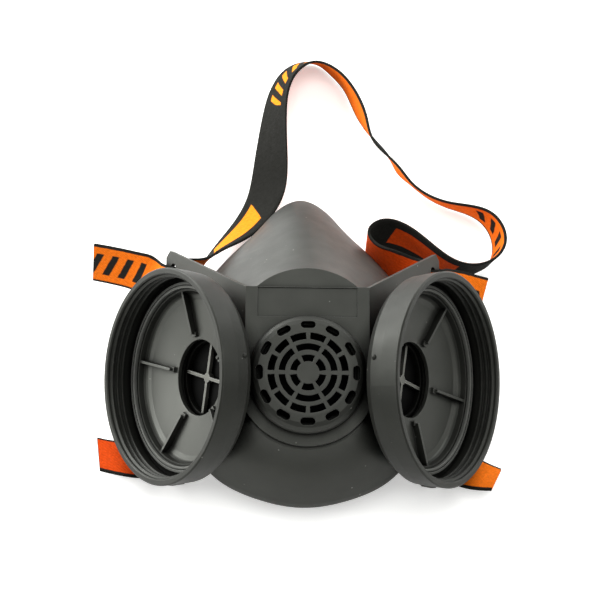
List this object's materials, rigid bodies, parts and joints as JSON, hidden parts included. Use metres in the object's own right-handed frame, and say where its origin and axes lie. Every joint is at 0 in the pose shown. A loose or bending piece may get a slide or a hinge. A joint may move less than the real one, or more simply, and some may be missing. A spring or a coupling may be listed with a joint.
{
  "type": "half-mask respirator",
  "caption": "Elastomer half-mask with threaded filter cups at both sides, a grilled exhalation valve at the front and elastic webbing head and neck straps.",
  "frame": {"origin": "on the face-seal plane, in the mid-plane, in the middle of the seal lip at the chin", "axes": "+Z away from the face through the front plate, +Y towards the nose, -Y towards the chin, +X towards the right cup as seen from the front"},
  "size_m": [0.1908, 0.2525, 0.0886],
  "materials": {
    "face_rubber": "matte moulded",
    "plate_plastic": "fine satin",
    "cup_plastic": "fine satin",
    "gasket": "smooth",
    "flap_rubber": "smooth",
    "webbing": "woven elastic"
  },
  "bodies": {
    "frame": {"facepiece": "face_rubber", "front_plate": "plate_plastic", "exhalation_valve_seat": "plate_plastic", "left_head_strap_tail": "webbing", "right_head_strap_tail": "webbing", "left_neck_strap_end": "webbing", "right_neck_strap_end": "webbing", "exhalation_cover": "plate_plastic", "left_filter_cup": "cup_plastic", "left_cup_gasket": "gasket", "left_inhalation_valve_seat": "cup_plastic", "left_lock_ring": "cup_plastic", "right_filter_cup": "cup_plastic", "right_cup_gasket": "gasket", "right_inhalation_valve_seat": "cup_plastic", "right_lock_ring": "cup_plastic"},
    "exhalation_flap": {"exhalation_flap": "flap_rubber"},
    "head_strap": {"head_strap": "webbing"},
    "left_inhalation_flap": {"left_inhalation_flap": "flap_rubber"},
    "right_inhalation_flap": {"right_inhalation_flap": "flap_rubber"}
  },
  "joints": [
    {"name": "exhalation_flap_lift", "type": "slide", "parent": "frame", "child": "exhalation_flap", "axis": [0, -0.342, 0.9397], "range_m": [0, 0.0015], "stiffness_N_per_m": 40},
    {"name": "head_strap_swing", "type": "hinge", "parent": "frame", "child": "head_strap", "pos_m": [0, 0.087, 0.038], "axis": [1, 0, 0], "range_deg": [0, 12]},
    {"name": "left_inhalation_flap_lift", "type": "slide", "parent": "frame", "child": "left_inhalation_flap", "axis": [0.8147, 0.2687, -0.5138], "range_m": [0, 0.0018], "stiffness_N_per_m": 30},
    {"name": "right_inhalation_flap_lift", "type": "slide", "parent": "frame", "child": "right_inhalation_flap", "axis": [-0.8147, 0.2687, -0.5138], "range_m": [0, 0.0018], "stiffness_N_per_m": 30}
  ]
}
